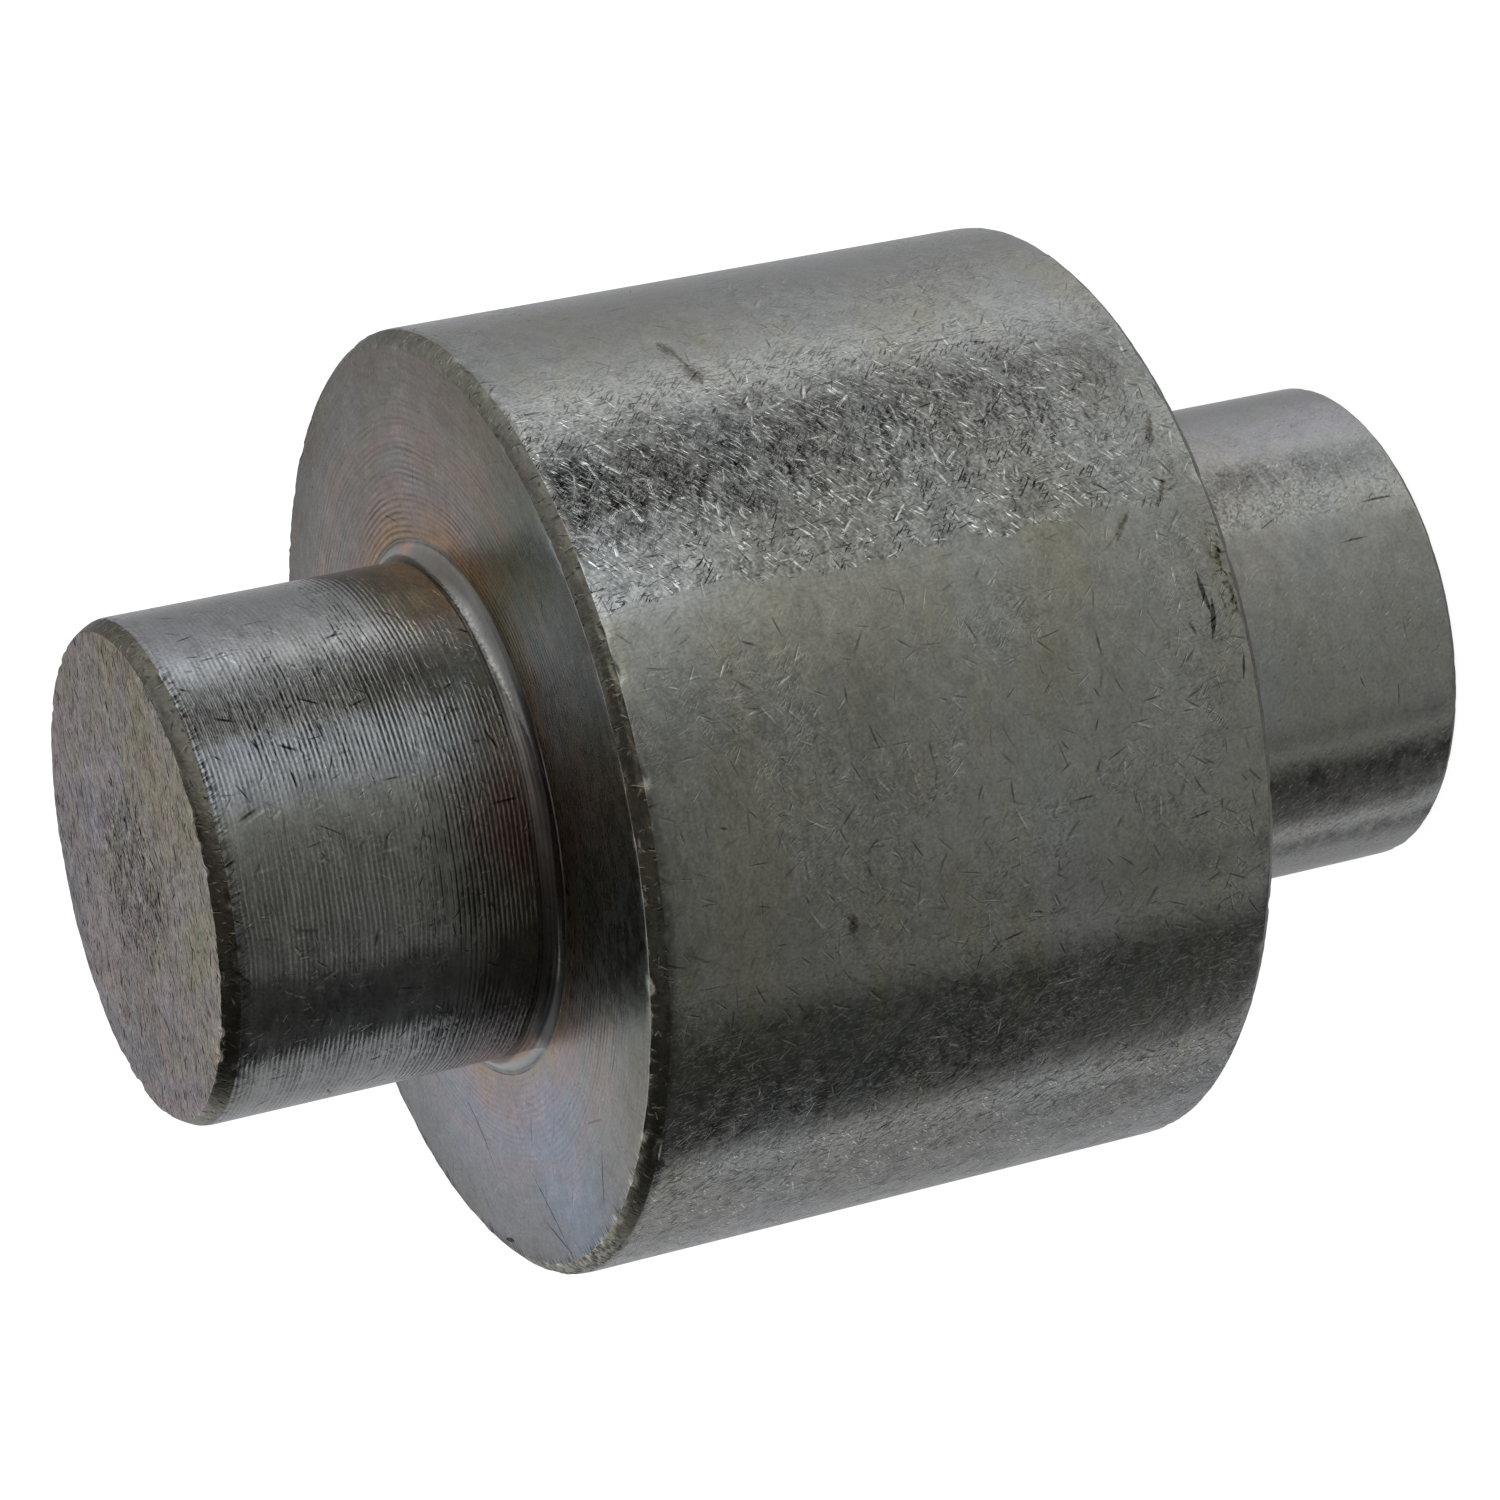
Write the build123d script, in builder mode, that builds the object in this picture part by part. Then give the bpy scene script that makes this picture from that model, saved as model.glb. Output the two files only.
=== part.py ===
"""Stepped shaft: a solid steel roller, a wide barrel turned between two plain journals.

It is one turned piece. It stands on the end of its lower journal, with its axis on Z
and the middle of that end at the origin. The upper journal is the one whose end carries
the long lead-in taper.
"""
import os

from build123d import *

# Driving dimensions, in millimetres
barrel_diameter = 38.0          # the rolling surface
barrel_length = 26.2            # shoulder to shoulder
upper_journal_diameter = 20.0
upper_journal_length = 13.5     # shoulder to end face
lower_journal_diameter = 20.0
lower_journal_length = 13.8
root_fillet_radius = 0.8        # left at the foot of each journal by the tool's nose
upper_lead_depth = 0.4          # the lead-in taper's bite into the journal's radius
upper_lead_length = 0.66        # the same taper, along the axis
upper_barrel_chamfer = 0.55     # 45 degree chamfer at the barrel's upper edge
lower_barrel_chamfer = 0.3
lower_journal_chamfer = 0.2

# Worked out from them
barrel_radius = barrel_diameter / 2
upper_journal_radius = upper_journal_diameter / 2
lower_journal_radius = lower_journal_diameter / 2
lower_shoulder_z = lower_journal_length
upper_shoulder_z = lower_shoulder_z + barrel_length
top_z = upper_shoulder_z + upper_journal_length

with BuildPart() as stepped_shaft:
    # Half of the shaft's section, drawn up its outside from the foot to the top
    with BuildSketch(Plane.XZ):
        with BuildLine():
            foot = Line((0, 0), (lower_journal_radius - lower_journal_chamfer, 0))
            foot_edge = Line(foot @ 1, (lower_journal_radius, lower_journal_chamfer))
            lower_wall = Line(
                foot_edge @ 1, (lower_journal_radius, lower_shoulder_z - root_fillet_radius)
            )
            lower_root = TangentArc(
                lower_wall @ 1,
                (lower_journal_radius + root_fillet_radius, lower_shoulder_z),
                tangent=lower_wall % 1,
            )
            lower_shoulder = Line(
                lower_root @ 1, (barrel_radius - lower_barrel_chamfer, lower_shoulder_z)
            )
            lower_edge = Line(
                lower_shoulder @ 1, (barrel_radius, lower_shoulder_z + lower_barrel_chamfer)
            )
            barrel_wall = Line(
                lower_edge @ 1, (barrel_radius, upper_shoulder_z - upper_barrel_chamfer)
            )
            upper_edge = Line(
                barrel_wall @ 1, (barrel_radius - upper_barrel_chamfer, upper_shoulder_z)
            )
            upper_shoulder = Line(
                upper_edge @ 1, (upper_journal_radius + root_fillet_radius, upper_shoulder_z)
            )
            upper_root = TangentArc(
                upper_shoulder @ 1,
                (upper_journal_radius, upper_shoulder_z + root_fillet_radius),
                tangent=upper_shoulder % 1,
            )
            upper_wall = Line(upper_root @ 1, (upper_journal_radius, top_z - upper_lead_length))
            lead_in = Line(upper_wall @ 1, (upper_journal_radius - upper_lead_depth, top_z))
            top = Line(lead_in @ 1, (0, top_z))
            Line(top @ 1, foot @ 0)
        make_face()
    revolve(axis=Axis.Z)

stepped_shaft.part.label = "stepped_shaft"

os.makedirs("parts", exist_ok=True)
export_step(stepped_shaft.part, "parts/stepped_shaft.step")
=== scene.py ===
"""Worn plated stepped shaft, standing on its lower journal on a pale floor."""
import math

import bpy
from mathutils import Matrix, Vector, noise


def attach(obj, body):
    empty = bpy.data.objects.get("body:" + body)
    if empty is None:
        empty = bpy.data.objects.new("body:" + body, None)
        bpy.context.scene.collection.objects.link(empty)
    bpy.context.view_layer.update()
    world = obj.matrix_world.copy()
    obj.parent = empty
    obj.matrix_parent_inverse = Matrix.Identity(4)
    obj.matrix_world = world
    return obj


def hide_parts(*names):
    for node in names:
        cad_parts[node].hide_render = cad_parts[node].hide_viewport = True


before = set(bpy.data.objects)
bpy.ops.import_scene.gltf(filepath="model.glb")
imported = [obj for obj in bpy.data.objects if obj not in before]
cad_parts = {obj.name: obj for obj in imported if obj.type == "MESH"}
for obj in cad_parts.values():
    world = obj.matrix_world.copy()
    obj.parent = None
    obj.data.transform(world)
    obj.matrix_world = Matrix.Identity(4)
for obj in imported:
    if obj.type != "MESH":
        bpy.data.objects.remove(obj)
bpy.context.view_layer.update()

MM = 0.001

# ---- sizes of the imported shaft, in mm; z runs up its axis from the end it stands on
BARREL_R = 19.0
JOURNAL_R = 10.0
LOWER_SHOULDER_Z = 13.8
UPPER_SHOULDER_Z = 40.0
TOP_Z = 53.5
ROOT_FILLET = 0.8
LEAD_DEPTH, LEAD_LENGTH = 0.4, 0.66
UPPER_BARREL_CHAMFER = 0.55
LOWER_BARREL_CHAMFER = 0.3
LOWER_JOURNAL_CHAMFER = 0.2

# ---- corners of its half section as (r, z), from the foot to the end face
FOOT = (JOURNAL_R - LOWER_JOURNAL_CHAMFER, 0.0)
FOOT_TOP = (JOURNAL_R, LOWER_JOURNAL_CHAMFER)
LOW_EDGE = (BARREL_R - LOWER_BARREL_CHAMFER, LOWER_SHOULDER_Z)
LOW_EDGE_TOP = (BARREL_R, LOWER_SHOULDER_Z + LOWER_BARREL_CHAMFER)
HIGH_EDGE = (BARREL_R, UPPER_SHOULDER_Z - UPPER_BARREL_CHAMFER)
HIGH_EDGE_TOP = (BARREL_R - UPPER_BARREL_CHAMFER, UPPER_SHOULDER_Z)
LEAD = (JOURNAL_R, TOP_Z - LEAD_LENGTH)
TIP = (JOURNAL_R - LEAD_DEPTH, TOP_Z)

# how each corner is worn: its place, the way it faces, wear depth, nick depth, reach
CORNERS = (
    (FOOT, (0.4, -0.9), 0.02, 0.02, 0.25),
    (FOOT_TOP, (0.9, -0.4), 0.03, 0.03, 0.3),
    (LOW_EDGE, (0.4, -0.9), 0.04, 0.05, 0.35),
    (LOW_EDGE_TOP, (0.9, -0.4), 0.05, 0.06, 0.4),
    (HIGH_EDGE, (0.9, 0.4), 0.07, 0.2, 0.3),
    (HIGH_EDGE_TOP, (0.4, 0.9), 0.06, 0.16, 0.3),
    (LEAD, (0.97, 0.25), 0.06, 0.14, 0.3),
    (TIP, (0.5, 0.85), 0.05, 0.13, 0.3),
)
CORNER_SPACING = 40.0  # keeps the noise of one corner apart from the next one's
WEAR_SIZES = (1.3, 0.35)  # of its coarse and its fine noise
NICK_SIZES, NICK_LEVELS = (0.8, 0.3), (0.22, 0.3)  # the same, and where each starts to bite

# ---- density of its mesh: points to a ring, then lengths in mm
SEGMENTS = 540
HUB_R = 0.5  # the innermost ring of both end faces; a fan closes it
EDGE_STEP = 0.08  # the most between two rings on a chamfer
# how far the first rings are from the ends of a chamfer, a wall and a wall that faces the floor
FINE, WALL, HIDDEN = (0, 0.03, 0.08, 0.16), (0, 0.05, 0.12, 0.22, 0.4), (0, 0.06, 0.2)

# ---- camera: the photograph shows the shaft lying on its side, so the camera is rolled
CAMERA_PLACE = (16.3008, -202.7535, 111.2251)
CAMERA_RIGHT = (-0.17755455, -0.38888132, -0.90401643)
CAMERA_UP = (0.98125295, 0.0, -0.19272429)
CAMERA_LENS = 130.9155

# ---- floor: its diffuse grey, and the glow that camera, glossy and transmission rays see
FLOOR_RADIUS, FLOOR_SIDES = 1.2, 64
FLOOR_GREY, FLOOR_GLOW = 0.22, 0.91

# ---- light tent: how bright its cloth and flags are, by azimuth in degrees (0 is +X, 90 is +Y),
# each at the five elevations of TENT_ELEVATIONS
TENT_RADIUS, TENT_CENTRE_Z = 1.5, 0.027
TENT_COOL, TENT_WARM = (0.99, 1.0, 1.03), (1.01, 1.015, 0.965)
WARM_AZIMUTH = -95  # the warm side faces the camera
AZIMUTH_STEP = 2
TENT_RINGS = (-90, -28, -25, -23, -20, -17, -10, 0, 8, 16, 25, 35, 48, 60, 90)
TENT_ELEVATIONS = (-28, -23, -17, 25, 60)
TENT = {
    90: (0.51, 0.52, 0.55, 1.00, 0.90),
    70: (0.50, 0.48, 0.52, 0.95, 0.90),
    60: (0.55, 0.50, 0.52, 0.95, 1.10),
    50: (0.75, 0.60, 0.63, 1.10, 1.30),
    42: (0.97, 0.75, 0.78, 1.00, 1.20),
    34: (1.20, 0.97, 0.85, 1.05, 1.00),
    26: (1.36, 1.22, 1.00, 1.70, 1.05),
    20: (1.45, 1.60, 1.05, 1.90, 1.10),
    14: (1.60, 2.30, 1.45, 2.00, 1.10),
    8: (1.70, 2.00, 2.40, 2.10, 1.10),
    2: (1.30, 0.48, 2.60, 2.20, 1.10),
    -4: (1.22, 0.00, 1.80, 2.30, 1.10),
    -10: (1.30, 0.00, 0.00, 2.50, 1.10),
    -18: (2.00, 0.05, 0.00, 2.80, 1.00),
    -26: (1.85, 0.00, 0.03, 3.00, 0.80),
    -34: (1.42, 1.18, 0.15, 3.10, 0.60),
    -42: (1.10, 0.65, 1.70, 2.90, 0.45),
    -50: (0.97, 1.15, 1.75, 3.00, 0.30),
    -58: (0.88, 0.95, 1.40, 2.60, 0.20),
    -70: (0.88, 0.65, 0.76, 1.50, 0.12),
    -82: (0.81, 0.60, 0.40, 1.00, 0.20),
    -98: (0.74, 0.61, 0.27, 0.50, 0.30),
    -114: (0.68, 0.62, 0.27, 0.25, 0.35),
    -130: (0.71, 0.42, 0.26, 0.15, 0.35),
    -138: (0.34, 0.52, 0.34, 0.08, 0.35),
    -146: (0.85, 0.60, 0.10, 0.06, 0.30),
    -154: (0.25, 0.00, 0.15, 0.06, 0.25),
    -162: (0.10, 0.14, 0.09, 0.06, 0.20),
    -170: (0.24, 0.07, 0.10, 0.06, 0.15),
    -178: (0.28, 0.00, 0.17, 0.06, 0.10),
    -186: (0.50, 0.00, 0.00, 0.05, 0.05),
    -196: (1.30, 1.52, 0.76, 0.04, 0.05),
    -206: (0.31, 0.68, 1.12, 0.08, 0.04),
    -220: (0.68, 0.56, 0.76, 0.60, 1.60),
    -234: (0.50, 0.50, 0.62, 1.60, 2.60),
    -250: (0.46, 0.48, 0.52, 1.25, 1.00),
    -270: (0.51, 0.52, 0.55, 1.00, 0.90),
}

# ---- the plate: its tone by kind of zone
GREY = (0.175, 0.176, 0.168)
FACE_TONE = (0.250, 0.238, 0.224)
END_TONE = (0.262, 0.248, 0.236)
ROOT_TONE = (0.150, 0.148, 0.143)
EDGE_TONE = (0.129, 0.125, 0.111)
SMALL_EDGE_TONE = (0.135, 0.131, 0.120)
LEAD_TONE = (0.100, 0.095, 0.086)

# what all zones share: sizes in mm of the noises of colour and height, and how much they do
BROAD_SIZE, SPOT_SIZE, GRAIN_SIZE, SWELL_SIZE = 6.0, 0.75, 0.12, 3.0
WARM_PLATE, COOL_PLATE = (1.005, 1.0, 0.95), (0.985, 1.0, 1.01)
GRAIN_SHARE = 0.65
BROAD_SHADE = 0.3
DARKENING, BRIGHTENING = -0.75, 0.9
DARKEST = 0.05
SPOT_ROUGHNESS, DARK_ROUGHNESS = 0.2, 0.15
SPOT_HEIGHT, SWELL_HEIGHT = 0.016, 0.012

# ---- marks: (degrees from +X towards -Y, height, length, width, lean in degrees, bend), in mm
BARREL_GOUGES = (
    (79.2, 15.5, 2.1, 0.12, -6, 0.06),
    (82.2, 15.34, 1.8, 0.14, 13, -0.08),
    (88.3, 14.5, 1.2, 0.07, 12, 0.0),
)
BARREL_STAINS = (
    (58.4, 15.3, 1.9, 0.22, 25, 0.05),
    (66.0, 15.8, 1.9, 0.20, 28, -0.05),
    (31.0, 31.8, 1.6, 0.40, -12, 0.1),
    (37.0, 31.5, 1.9, 0.50, -6, -0.1),
    (33.6, 31.6, 3.4, 0.14, -8, 0.1),
    (108.0, 31.9, 1.2, 0.30, 0, 0.0),
    (69.5, 18.0, 1.7, 0.20, 40, 0.1),
    (75.0, 14.45, 1.6, 0.18, 10, 0.1),
    (80.0, 14.3, 1.6, 0.15, -5, 0.0),
)
LOWER_JOURNAL_GOUGES = (
    (58.6, 1.66, 1.7, 0.07, 90, 0.04),
    (67.6, 3.4, 1.6, 0.05, 88, 0.03),
    (59.4, 6.85, 1.0, 0.04, 65, 0.0),
    (105.5, 2.84, 1.1, 0.03, 0, 0.0),
    (100.7, 4.5, 0.6, 0.04, -20, 0.0),
)
# on a flat face the first two are x and y
SHOULDER_SCRATCHES = (
    (-16.18, -2.28, 5.0, 0.05, 137, 0.05),
    (-17.18, -2.6, 3.2, 0.05, 115, 0.0),
    (-14.32, -8.74, 3.0, 0.05, 21, 0.05),
    (-13.36, 4.23, 4.4, 0.05, 145, 0.35),
    (-17.77, 3.14, 1.1, 0.12, 90, 0.0),
)

# ---- films of colour that follow a noise
BARREL_FILM = (
    (0.32, (0.99, 1.0, 1.01)),
    (0.46, (1.0, 1.0, 0.985)),
    (0.56, (1.0, 1.0, 0.955)),
    (0.68, (1.02, 0.99, 0.86)),
)
LOWER_JOURNAL_FILM = (
    (0.3, (0.97, 0.99, 1.05)),
    (0.45, (0.99, 1.0, 1.01)),
    (0.55, (1.0, 1.0, 0.98)),
    (0.7, (1.03, 0.98, 0.97)),
)
END_FILM = (
    (0.1, (0.97, 0.97, 1.09)),
    (0.3, (1.1, 0.95, 1.0)),
    (0.5, (0.97, 1.01, 0.97)),
    (0.7, (1.11, 0.97, 0.82)),
    (0.9, (0.95, 1.0, 0.8)),
)
# from the fillet outwards
SHOULDER_FILM_WIDTH = 8.0
SHOULDER_FILM = (
    (0.0, (1.14, 0.9, 0.7)),
    (0.1, (1.1, 0.91, 0.84)),
    (0.22, (1.03, 0.92, 0.97)),
    (0.36, (0.9, 0.97, 1.04)),
    (0.48, (1.08, 0.92, 0.93)),
    (0.62, (0.92, 0.95, 0.99)),
    (0.8, (0.81, 0.8, 0.82)),
    (1.0, (0.78, 0.76, 0.76)),
)

# ---- films of colour, levels, and painted light and shade round the axis: 0 is +X, 0.5 is -Y, the camera's side, and 1 is -X
# painted light and shade round the shoulder faces, with some tint: up to 2.5 times lighter near 0.39 and half
# as light near 0.57
SHOULDER_TINT_AND_PAINTED_LIGHT = (
    (0.0, (0.95, 0.975, 0.96)),
    (0.14, (1.025, 0.96, 0.90)),
    (0.25, (0.824, 0.856, 0.762)),
    (0.3, (0.602, 0.804, 0.72)),
    (0.39, (2.146, 2.28, 2.458)),
    (0.44, (1.184, 1.293, 1.19)),
    (0.5, (1.286, 1.175, 1.031)),
    (0.57, (0.49, 0.659, 0.61)),
    (0.75, (1.112, 1.032, 0.872)),
    (0.87, (0.946, 1.143, 1.341)),
    (1.0, (0.97, 0.99, 0.97)),
)
# painted light and shade round the chamfers: about half as light towards the camera's side, three times
# lighter towards -X
EDGE_PAINTED_LIGHT = (
    (0.0, (1.365, 1.365, 1.365)),
    (0.11, (1.279, 1.279, 1.278)),
    (0.22, (0.551, 0.551, 0.551)),
    (0.33, (0.537, 0.536, 0.536)),
    (0.44, (0.592, 0.573, 0.562)),
    (0.56, (0.652, 0.562, 0.538)),
    (0.67, (0.97, 0.972, 0.971)),
    (0.73, (0.957, 0.956, 0.958)),
    (0.78, (0.76, 0.759, 0.758)),
    (0.83, (0.995, 0.995, 0.998)),
    (0.89, (3.056, 3.056, 3.112)),
    (1.0, (3.063, 3.063, 3.118)),
)
# orange film by the journal's root, which also paints light and shade round the axis, from 0.3 to 2.1 times
JOURNAL_ROOT_FILM_AND_PAINTED_LIGHT = (
    (0.05, (1.862, 1.461, 0.999)),
    (0.14, (2.1, 1.689, 1.129)),
    (0.22, (1.545, 1.464, 1.299)),
    (0.29, (1.114, 1.203, 1.391)),
    (0.34, (0.667, 0.675, 0.668)),
    (0.39, (0.304, 0.311, 0.317)),
    (0.45, (0.616, 0.555, 0.534)),
    (0.52, (0.901, 0.53, 0.528)),
    (0.6, (1.055, 0.96, 0.865)),
    (0.69, (2.071, 1.946, 1.812)),
    (0.77, (1.141, 1.056, 1.015)),
    (0.84, (0.987, 0.9, 1.1)),
    (0.93, (1.497, 1.005, 0.726)),
)
# how clear the journal's grooves are, whose darkness round the axis is partly painted shade, and how far out
# the fillet's painted reflection, a lighter band, starts
JOURNAL_GROOVES_AND_PAINTED_SHADE = (
    (0.06, 0.498), (0.2, 0.606), (0.26, 1.994), (0.33, 1.9), (0.4, 1.253), (0.46, 1.547),
    (0.6, 1.505), (0.66, 0.123), (0.73, 0.03), (0.79, 3.38), (0.95, 2.501),
)
ROOT_PAINTED_REFLECTION = (
    (0.0, 0.0), (0.3, 0.0), (0.37, 0.15), (0.42, 0.42), (0.47, 0.75),
    (0.53, 1.15), (0.8, 1.2), (0.84, 1.0), (0.87, 0.35), (0.92, 0.0),
)


# ---- node graphs

class Graph:
    """Adds nodes to one tree. Any value may be a number, a tuple or another node's socket."""

    def __init__(self, tree):
        self.tree = tree

    def node(self, kind, values=None, **settings):
        node = self.tree.nodes.new(kind if kind.startswith("NodeGroup") else "ShaderNode" + kind)
        for name, value in settings.items():
            setattr(node, name, value)
        for key, value in (values or {}).items():
            if isinstance(value, bpy.types.NodeSocket):
                self.tree.links.new(value, node.inputs[key])
            else:
                node.inputs[key].default_value = value
        return node

    def group(self, tree, values):
        return self.node("Group", values, node_tree=tree).outputs

    def math(self, operation, *values):
        return self.node("Math", dict(enumerate(values)), operation=operation).outputs[0]

    def chain(self, operation, first, *rest):
        for value in rest:
            first = self.math(operation, first, value)
        return first

    def times(self, *values):
        return self.chain("MULTIPLY", *values)

    def total(self, *values):
        return self.chain("ADD", *values)

    def most(self, *values):
        return self.chain("MAXIMUM", *values)

    def weighted(self, *terms):
        """The sum of these (value, weight) pairs."""
        return self.total(*(self.times(value, weight) for value, weight in terms))

    def linear(self, value, slope, start):
        return self.math("MULTIPLY_ADD", value, slope, start)

    def centred(self, value):
        return self.math("SUBTRACT", value, 0.5)

    def step(self, value, low, high, to_low=0.0, to_high=1.0):
        values = {"Value": value, "From Min": low, "From Max": high, "To Min": to_low, "To Max": to_high}
        return self.node("MapRange", values, interpolation_type="SMOOTHSTEP").outputs["Result"]

    def sweep(self, turn, low, high, to_low=0.0, to_high=1.0):
        """A step over an angle, its limits in degrees."""
        return self.step(turn, math.radians(low), math.radians(high), to_low, to_high)

    def between(self, turn, rise, risen, fall, fallen):
        """The two steps of a band round the axis, its limits in degrees."""
        return self.sweep(turn, rise, risen), self.sweep(turn, fallen, fall)

    def around(self, turn):
        """From 0 at +X through 0.5 at -Y to 1 at -X."""
        return self.linear(turn, -1.0 / math.pi, 0.5)

    def vector(self, operation, *values):
        return self.node("VectorMath", dict(enumerate(values)), operation=operation).outputs["Vector"]

    def scaled(self, vector, by):
        return self.node("VectorMath", {0: vector, "Scale": by}, operation="SCALE").outputs["Vector"]

    def rotated(self, vector, angle):
        values = {"Vector": vector, "Angle": angle}
        return self.node("VectorRotate", values, rotation_type="Z_AXIS").outputs[0]

    def join(self, x, y, z=0.0):
        return self.node("CombineXYZ", {0: x, 1: y, 2: z}).outputs[0]

    def split(self, vector):
        return self.node("SeparateXYZ", {0: vector}).outputs

    def noise(self, vector, size, detail=2.0, roughness=0.5):
        values = {"Vector": vector, "Scale": 1.0 / size, "Detail": detail, "Roughness": roughness}
        return self.node("TexNoise", values).outputs["Fac"]

    def mix(self, share, a, b, blend="MIX"):
        a, b = ((*colour, 1.0) if isinstance(colour, tuple) else colour for colour in (a, b))
        return self.node("Mix", {0: share, 6: a, 7: b}, data_type="RGBA", blend_type=blend).outputs[2]

    def tinted(self, a, b):
        return self.mix(1.0, a, b, "MULTIPLY")

    def coats(self, colour, *coats):
        """This colour under coats given as (share, colour)."""
        for share, coat in coats:
            colour = self.mix(share, colour, coat)
        return colour

    def ramp(self, value, stops):
        """A ramp whose colours may be greys given as one number, and brighter than 1."""
        stops = [(place, c if isinstance(c, tuple) else (c, c, c)) for place, c in stops]
        top = max(1.0, *(max(colour) for _, colour in stops))
        node = self.node("ValToRGB", {0: value})
        ramp = node.color_ramp
        ramp.interpolation = "B_SPLINE"
        while len(ramp.elements) < len(stops):
            ramp.elements.new(1.0)
        for element, (place, colour) in zip(ramp.elements, stops):
            element.position, element.color = place, (*(c / top for c in colour), 1.0)
        return self.scaled(node.outputs["Color"], top)


def new_material(name):
    material = bpy.data.materials.new(name)
    material.use_nodes = True
    return material, Graph(material.node_tree)


# ---- camera, floor, tent and world

def new_mesh(name, verts, faces):
    mesh = bpy.data.meshes.new(name)
    mesh.from_pydata(verts, [], faces)
    obj = bpy.data.objects.new(name, mesh)
    bpy.context.scene.collection.objects.link(obj)
    return obj


def make_camera():
    data = bpy.data.cameras.new("camera")
    data.sensor_width = 36.0
    data.lens = CAMERA_LENS
    data.clip_start, data.clip_end = 0.01, 20.0
    camera = bpy.data.objects.new("camera", data)
    bpy.context.scene.collection.objects.link(camera)
    right, up = Vector(CAMERA_RIGHT), Vector(CAMERA_UP)
    turn = Matrix((right, up, right.cross(up))).transposed()
    camera.matrix_world = Matrix.Translation(Vector(CAMERA_PLACE) * MM) @ turn.to_4x4()
    bpy.context.scene.camera = camera


def make_floor():
    angles = (math.tau * i / FLOOR_SIDES for i in range(FLOOR_SIDES))
    rim = [(FLOOR_RADIUS * math.cos(a), FLOOR_RADIUS * math.sin(a), 0.0) for a in angles]
    floor = new_mesh("floor", rim, [tuple(range(FLOOR_SIDES))])
    material, g = new_material("pale_floor")
    g.tree.nodes.clear()
    path = g.node("LightPath").outputs
    seen = g.most(*(path[f"Is {kind} Ray"] for kind in ("Camera", "Glossy", "Transmission")))
    strength = g.node("MapRange", {"Value": seen, "To Max": FLOOR_GLOW}).outputs["Result"]
    glow = g.node("Emission", {"Strength": strength}).outputs[0]
    cloth = g.node("BsdfDiffuse", {"Color": (FLOOR_GREY, FLOOR_GREY, FLOOR_GREY, 1.0)}).outputs[0]
    g.node("OutputMaterial", {"Surface": g.node("AddShader", {0: glow, 1: cloth}).outputs[0]})
    floor.data.materials.append(material)
    floor.visible_glossy = False  # the shaft reflects the tent all round instead


def tent_level(azimuth, elevation):
    stops = sorted(TENT)
    above = next((s for s in stops if s >= azimuth), stops[-1])
    below = max((s for s in stops if s <= azimuth), default=stops[0])
    share = 0.0 if above == below else (azimuth - below) / (above - below)
    levels = [b + (a - b) * share for b, a in zip(TENT[below], TENT[above])]
    for i in range(len(levels) - 1):
        low, high = TENT_ELEVATIONS[i : i + 2]
        if elevation <= high:
            t = max(0.0, (elevation - low) / (high - low))
            return levels[i] + (levels[i + 1] - levels[i]) * t
    return levels[-1]


def make_tent():
    """A closed tent that only reflections see, so that its cloth and flags shape the metal."""
    azimuths = range(min(TENT), max(TENT), AZIMUTH_STEP)
    verts, levels, warmth = [], [], []
    for elevation in TENT_RINGS:
        e = math.radians(elevation)
        for azimuth in azimuths:
            a = math.radians(azimuth)
            out = TENT_RADIUS * math.cos(e)
            verts.append((out * math.cos(a), out * math.sin(a), TENT_RADIUS * math.sin(e) + TENT_CENTRE_Z))
            levels.append(tent_level(azimuth, elevation))
            warmth.append(max(0.0, math.cos(a - math.radians(WARM_AZIMUTH)) * math.cos(e)) ** 0.5)
    tent = new_mesh("light_tent", verts, ring_faces(len(TENT_RINGS), len(azimuths)))
    for name, values in (("level", levels), ("warmth", warmth)):
        tent.data.attributes.new(name, "FLOAT", "POINT").data.foreach_set("value", values)
    material, g = new_material("tent_cloth")
    g.tree.nodes.clear()
    level, warm = (g.node("Attribute", attribute_name=name).outputs["Fac"] for name in ("level", "warmth"))
    glow = g.node("Emission", {"Color": g.mix(warm, TENT_COOL, TENT_WARM), "Strength": level})
    g.node("OutputMaterial", {"Surface": glow.outputs[0]})
    material.cycles.emission_sampling = "NONE"
    tent.data.materials.append(material)
    for kind in ("camera", "diffuse", "transmission", "volume_scatter", "shadow"):
        setattr(tent, "visible_" + kind, False)


def make_world():
    world = bpy.data.worlds.new("studio")
    bpy.context.scene.world = world
    world.use_nodes = True
    world.node_tree.nodes["Background"].inputs["Color"].default_value = (1, 1, 1, 1)
    world.node_tree.nodes["Background"].inputs["Strength"].default_value = 1.0
    world.cycles.sampling_method = "NONE"
    bpy.context.scene.view_settings.view_transform = "Standard"


# ---- the shaft's mesh

def ring_faces(rings, n):
    """Quads between neighbouring rings of n points each, in order."""
    starts = (i * n for i in range(rings - 1))
    return [(s + j, s + (j + 1) % n, s + n + (j + 1) % n, s + n + j) for s in starts for j in range(n)]


def rings_between(a, b, near, far):
    """Points from a towards b, without b: close together at both ends, at most `far` apart between."""
    length = math.dist(a, b)
    ends = [d for d in near if d < length / 2]
    middle = length - 2 * ends[-1]
    inner = max(1, math.ceil(middle / far))
    places = ends + [ends[-1] + middle * i / inner for i in range(1, inner)]
    places += [length - d for d in reversed(ends[1:])]
    return [tuple(p + (q - p) * d / length for p, q in zip(a, b)) for d in sorted(set(places))]


def arc(centre, radius, start, stop, n):
    """n points along an arc from start to stop in degrees, without its end."""
    angles = (math.radians(start + (stop - start) * i / n) for i in range(n))
    return [(centre[0] + radius * math.cos(a), centre[1] + radius * math.sin(a)) for a in angles]


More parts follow.
